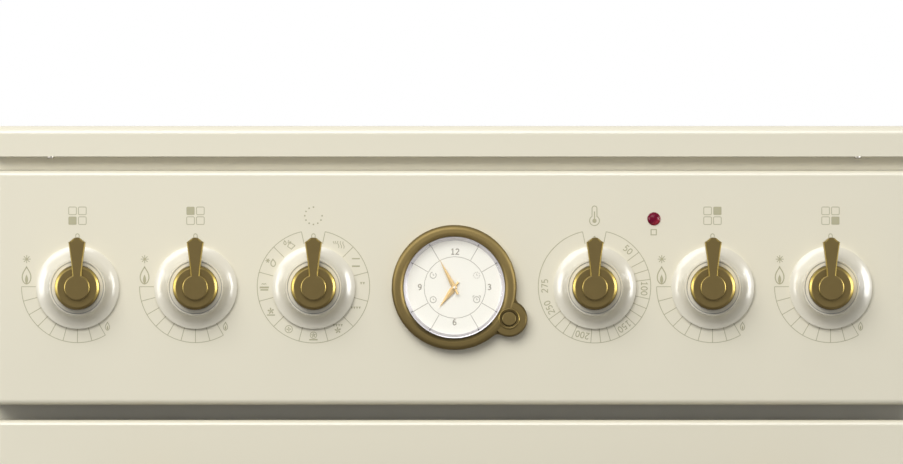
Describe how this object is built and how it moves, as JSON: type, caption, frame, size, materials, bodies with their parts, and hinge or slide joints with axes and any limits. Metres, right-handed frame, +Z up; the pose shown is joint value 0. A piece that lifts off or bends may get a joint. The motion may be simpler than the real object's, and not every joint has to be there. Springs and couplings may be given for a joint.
{
  "type": "range cooker",
  "caption": "Freestanding gas and electric range cooker in cream enamel, with lever knobs and a clock on its fascia, cast iron pan supports, fan oven and drawer.",
  "frame": {"origin": "on the floor, in the middle of the overall width and depth", "axes": "+Z up from the floor, +X to the right of someone facing the controls, +Y from the front to the wall"},
  "size_m": [0.6, 0.645, 0.9],
  "materials": {
    "cream_enamel": "gloss vitreous enamel on steel",
    "pearl_enamel": "pearl lacquer on turned metal",
    "antique_brass": "antiqued brass with bright worn edges",
    "gilt_hands": "satin gilt",
    "cast_iron": "matt black enamelled casting",
    "zinc_sheet": "zinc plated sheet",
    "plated_screws": "plated steel",
    "black_plastic": "moulded black plastic",
    "burner_alloy": "cast and drawn alloy",
    "plug_brass": "turned brass",
    "spark_ceramic": "glazed white ceramic",
    "ruby_lens": "ruby lens",
    "dial_face": "warm white dial with printed marks",
    "clear_glass": "clear glass",
    "stem_steel": "ground steel",
    "oven_enamel": "speckled dark oven enamel",
    "rock_wool": "rock wool batts",
    "shelf_chrome": "chrome plated wire",
    "element_steel": "annealed sheathed element",
    "seal_rubber": "silicone rubber"
  },
  "bodies": {
    "carcass": {"side_panels": "cream_enamel", "back_panel": "zinc_sheet", "base_pan": "zinc_sheet", "front_frame": "cream_enamel", "plinth": "cream_enamel", "feet": "black_plastic", "screws": "plated_screws", "hob_top": "cream_enamel", "burner_cups": "burner_alloy", "flame_spreaders": "burner_alloy", "burner_caps": "cast_iron", "igniters": "spark_ceramic", "gas_manifold": "zinc_sheet", "gas_pipes": "burner_alloy", "gas_taps": "plug_brass", "control_bracket": "zinc_sheet", "fascia": "cream_enamel", "knob_rosettes": "pearl_enamel", "oven_controls": "black_plastic", "pilot_lamp": "ruby_lens", "clock_bezel": "antique_brass", "clock_dial": "dial_face", "clock_glass": "clear_glass", "clock_movement": "black_plastic", "oven_cavity": "oven_enamel", "oven_insulation": "rock_wool", "shelf_ladders": "shelf_chrome", "wire_shelf": "shelf_chrome", "baking_tray": "oven_enamel", "fan_cover": "oven_enamel", "heating_elements": "element_steel", "oven_lamp": "clear_glass", "fan_motor": "zinc_sheet", "door_seal": "seal_rubber", "drawer_rails": "zinc_sheet", "terminal_box": "black_plastic"},
    "plug_front_left": {"tap_plug_front_left": "plug_brass"},
    "knob_front_left": {"knob_front_left": "antique_brass"},
    "plug_rear_left": {"tap_plug_rear_left": "plug_brass"},
    "knob_rear_left": {"knob_rear_left": "antique_brass"},
    "plug_rear_right": {"tap_plug_rear_right": "plug_brass"},
    "knob_rear_right": {"knob_rear_right": "antique_brass"},
    "plug_front_right": {"tap_plug_front_right": "plug_brass"},
    "knob_front_right": {"knob_front_right": "antique_brass"},
    "function_control": {"knob_function": "antique_brass"},
    "thermostat_control": {"knob_thermostat": "antique_brass"},
    "hour_hand": {"hour_hand": "gilt_hands"},
    "minute_hand": {"minute_hand": "gilt_hands"},
    "clock_stem": {"clock_stem": "stem_steel"},
    "clock_button": {"clock_setter": "antique_brass"},
    "oven_fan": {"convection_fan": "zinc_sheet"},
    "oven_door": {"door_panel": "cream_enamel", "door_frame": "zinc_sheet", "door_glass": "clear_glass", "door_handle": "antique_brass"},
    "drawer": {"drawer_front": "cream_enamel", "drawer_box": "zinc_sheet", "drawer_handle": "antique_brass"},
    "support_left": {"pan_support_left": "cast_iron"},
    "support_right": {"pan_support_right": "cast_iron"}
  },
  "joints": [
    {"name": "tap_turn_front_left", "type": "hinge", "parent": "carcass", "child": "plug_front_left", "pos_m": [-0.2457, -0.2775, 0.7945], "axis": [0, -1, 0], "range_deg": [0, 210]},
    {"name": "knob_push_front_left", "type": "slide", "parent": "plug_front_left", "child": "knob_front_left", "axis": [0, 1, 0], "range_m": [0, 0.003], "stiffness_N_per_m": 800, "springref_m": -0.005},
    {"name": "tap_turn_rear_left", "type": "hinge", "parent": "carcass", "child": "plug_rear_left", "pos_m": [-0.1687, -0.2775, 0.7945], "axis": [0, -1, 0], "range_deg": [0, 210]},
    {"name": "knob_push_rear_left", "type": "slide", "parent": "plug_rear_left", "child": "knob_rear_left", "axis": [0, 1, 0], "range_m": [0, 0.003], "stiffness_N_per_m": 800, "springref_m": -0.005},
    {"name": "tap_turn_rear_right", "type": "hinge", "parent": "carcass", "child": "plug_rear_right", "pos_m": [0.1687, -0.2775, 0.7945], "axis": [0, -1, 0], "range_deg": [0, 210]},
    {"name": "knob_push_rear_right", "type": "slide", "parent": "plug_rear_right", "child": "knob_rear_right", "axis": [0, 1, 0], "range_m": [0, 0.003], "stiffness_N_per_m": 800, "springref_m": -0.005},
    {"name": "tap_turn_front_right", "type": "hinge", "parent": "carcass", "child": "plug_front_right", "pos_m": [0.2457, -0.2775, 0.7945], "axis": [0, -1, 0], "range_deg": [0, 210]},
    {"name": "knob_push_front_right", "type": "slide", "parent": "plug_front_right", "child": "knob_front_right", "axis": [0, 1, 0], "range_m": [0, 0.003], "stiffness_N_per_m": 800, "springref_m": -0.005},
    {"name": "function_turn", "type": "hinge", "parent": "carcass", "child": "function_control", "pos_m": [-0.0917, -0.2775, 0.7945], "axis": [0, 1, 0], "range_deg": [0, 330]},
    {"name": "thermostat_turn", "type": "hinge", "parent": "carcass", "child": "thermostat_control", "pos_m": [0.0917, -0.2775, 0.7945], "axis": [0, 1, 0], "range_deg": [0, 272]},
    {"name": "minute_turn", "type": "hinge", "parent": "carcass", "child": "minute_hand", "pos_m": [0, -0.2775, 0.7945], "axis": [0, 1, 0], "continuous": true},
    {"name": "hour_turn", "type": "hinge", "parent": "carcass", "child": "hour_hand", "pos_m": [0, -0.2775, 0.7945], "axis": [0, 1, 0], "continuous": true},
    {"name": "stem_turn", "type": "hinge", "parent": "carcass", "child": "clock_stem", "pos_m": [0.0358, -0.2775, 0.7742], "axis": [0, 1, 0], "continuous": true},
    {"name": "button_push", "type": "slide", "parent": "clock_stem", "child": "clock_button", "axis": [0, 1, 0], "range_m": [0, 0.0015], "stiffness_N_per_m": 300, "springref_m": -0.003},
    {"name": "fan_spin", "type": "hinge", "parent": "carcass", "child": "oven_fan", "pos_m": [0, 0.166, 0.459], "axis": [0, 1, 0], "continuous": true},
    {"name": "door_swing", "type": "hinge", "parent": "carcass", "child": "oven_door", "pos_m": [0, -0.2575, 0.254], "axis": [1, 0, 0], "range_deg": [0, 90], "stiffness_Nm_per_rad": 6, "springref_deg": -24.06},
    {"name": "drawer_slide", "type": "slide", "parent": "carcass", "child": "drawer", "axis": [0, -1, 0], "range_m": [0, 0.32]},
    {"name": "support_lift_left", "type": "slide", "parent": "carcass", "child": "support_left", "axis": [0, 0, 1], "range_m": [0, 0.08]},
    {"name": "support_lift_right", "type": "slide", "parent": "carcass", "child": "support_right", "axis": [0, 0, 1], "range_m": [0, 0.08]}
  ],
  "couplings": [
    {"joint": "hour_turn", "follows": "minute_turn", "ratio": 0.083333}
  ]
}
